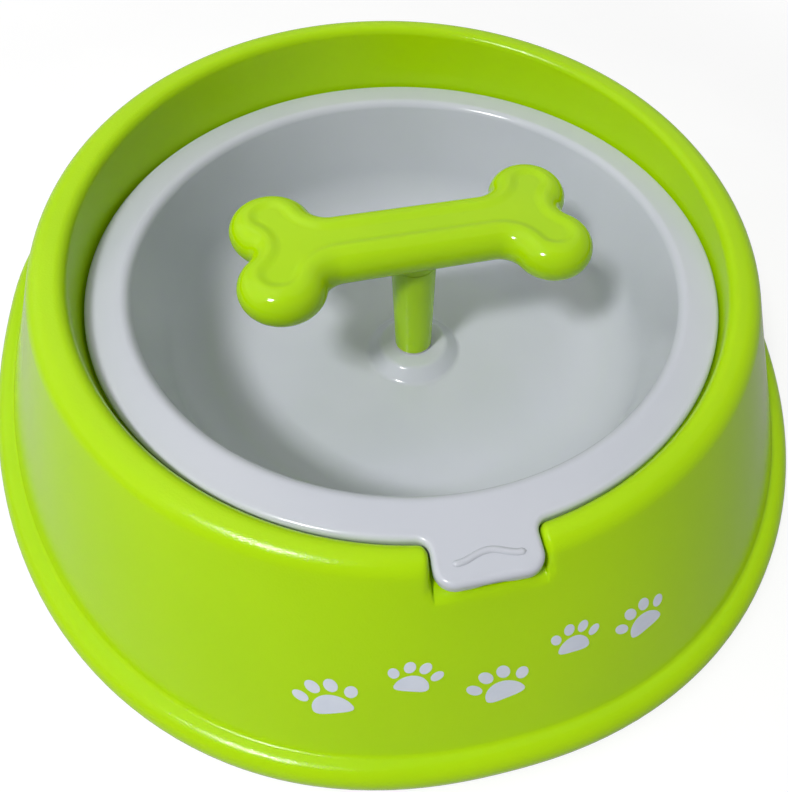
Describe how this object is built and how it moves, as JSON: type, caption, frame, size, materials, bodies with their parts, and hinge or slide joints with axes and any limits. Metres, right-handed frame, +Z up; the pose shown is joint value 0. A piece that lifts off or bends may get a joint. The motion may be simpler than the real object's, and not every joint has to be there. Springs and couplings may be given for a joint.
{
  "type": "slow feeder dog bowl",
  "caption": "Tilted moulded bowl stand with a lift-out feeding bowl and a bone-shaped bar on a central post that makes a dog eat slowly.",
  "frame": {"origin": "on the floor under the middle of the stand's footprint", "axes": "+Z up, -Y towards the low front with the finger recess, +Y towards the high back, +X to the right seen from the front"},
  "size_m": [0.2902, 0.3076, 0.0781],
  "materials": {
    "lime_plastic": "smooth glossy moulded plastic",
    "grey_plastic": "smooth glossy moulded plastic",
    "foot_rubber": "matt black rubber",
    "seal_rubber": "translucent silicone",
    "screw_steel": "plain stainless steel"
  },
  "bodies": {
    "stand": {"stand": "lime_plastic", "foot_front_left": "foot_rubber", "foot_front_right": "foot_rubber", "foot_rear_left": "foot_rubber", "foot_rear_right": "foot_rubber"},
    "bowl": {"bowl": "grey_plastic", "post_seal": "seal_rubber"},
    "bone": {"bone_bar": "lime_plastic", "bone_post": "lime_plastic", "post_screw": "screw_steel", "screw_washer": "screw_steel"}
  },
  "joints": [
    {"name": "bowl_lift", "type": "slide", "parent": "stand", "child": "bowl", "axis": [0, 0, 1], "range_m": [0, 0.09]},
    {"name": "bone_turn", "type": "hinge", "parent": "bowl", "child": "bone", "pos_m": [0, -0.01225, 0.03], "axis": [0, 0, 1], "continuous": true}
  ]
}
